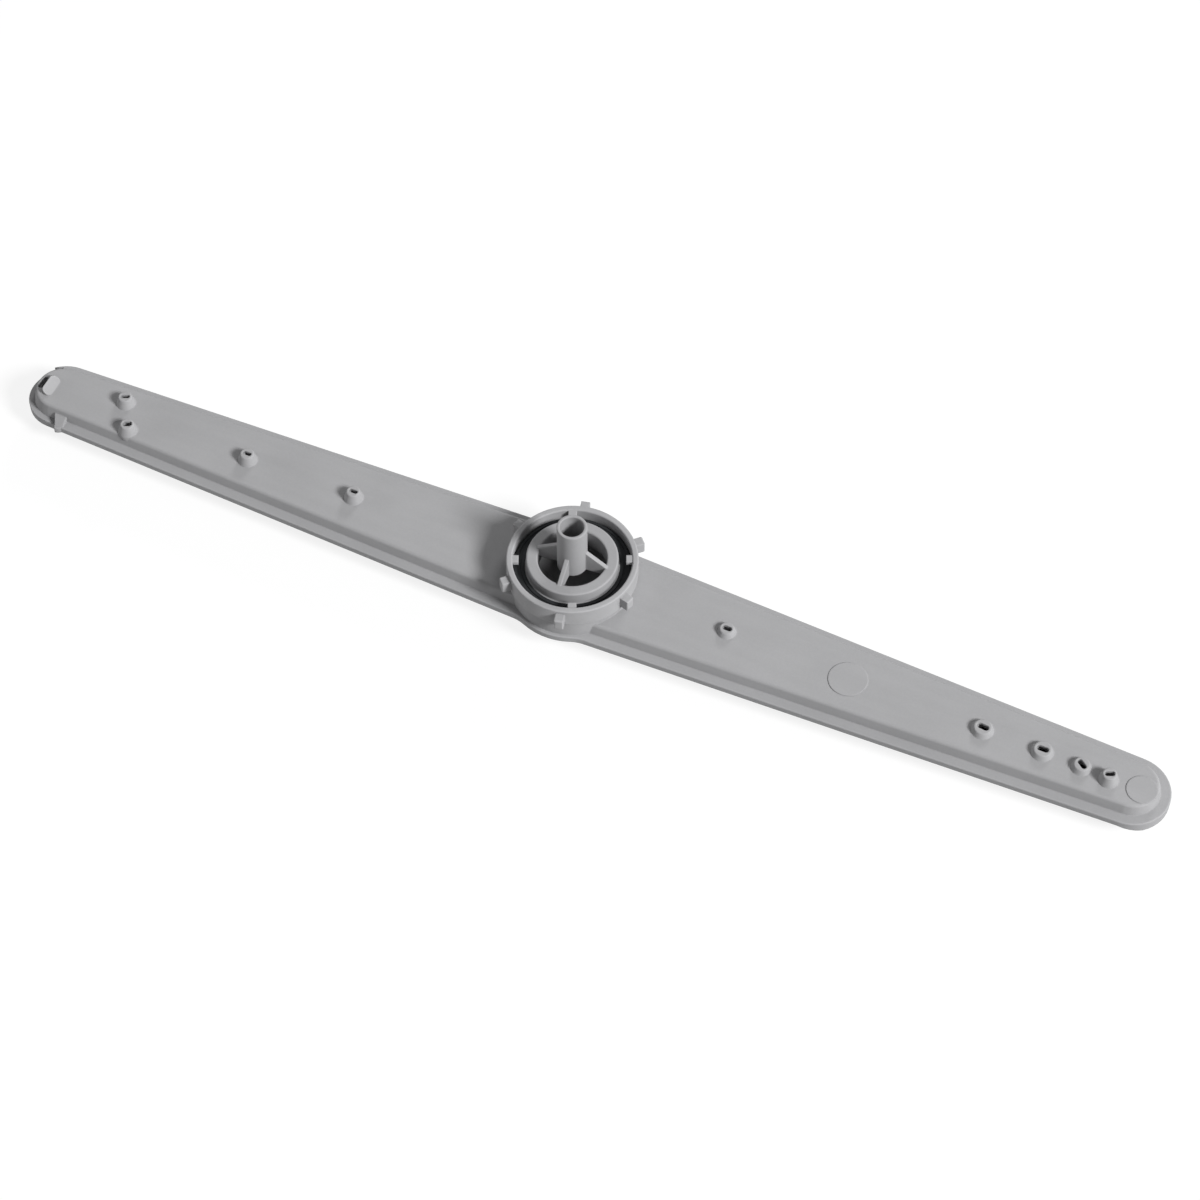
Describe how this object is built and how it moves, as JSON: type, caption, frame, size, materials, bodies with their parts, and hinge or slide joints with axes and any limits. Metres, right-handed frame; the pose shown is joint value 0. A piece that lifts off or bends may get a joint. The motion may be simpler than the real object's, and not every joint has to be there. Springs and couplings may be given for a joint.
{
  "type": "dishwasher spray arm",
  "caption": "Long tapering hollow arm of two welded shells with slit nozzles, a central feed inlet with a guide tube, and a turning bayonet ring that locks it to the feed pipe.",
  "frame": {"origin": "on the hub's axis, at the flat underside that the arm rests on", "axes": "+X along the arm towards the end with the low stub nozzles, +Z along the hub's axis, out of the inlet"},
  "size_m": [0.4638, 0.0548, 0.0467],
  "materials": {
    "shell_grey": "fine moulded grain",
    "hub_grey": "smooth moulded",
    "nut_grey": "smooth moulded",
    "seal_black": "matt"
  },
  "bodies": {
    "arm": {"lower_shell": "shell_grey", "upper_shell": "shell_grey", "inlet_hub": "hub_grey", "seal_ring": "seal_black"},
    "nut": {"ring_nut": "nut_grey"}
  },
  "joints": [
    {"name": "nut_spin", "type": "hinge", "parent": "arm", "child": "nut", "pos_m": [0, 0, 0.023], "axis": [0, 0, 1], "continuous": true}
  ]
}
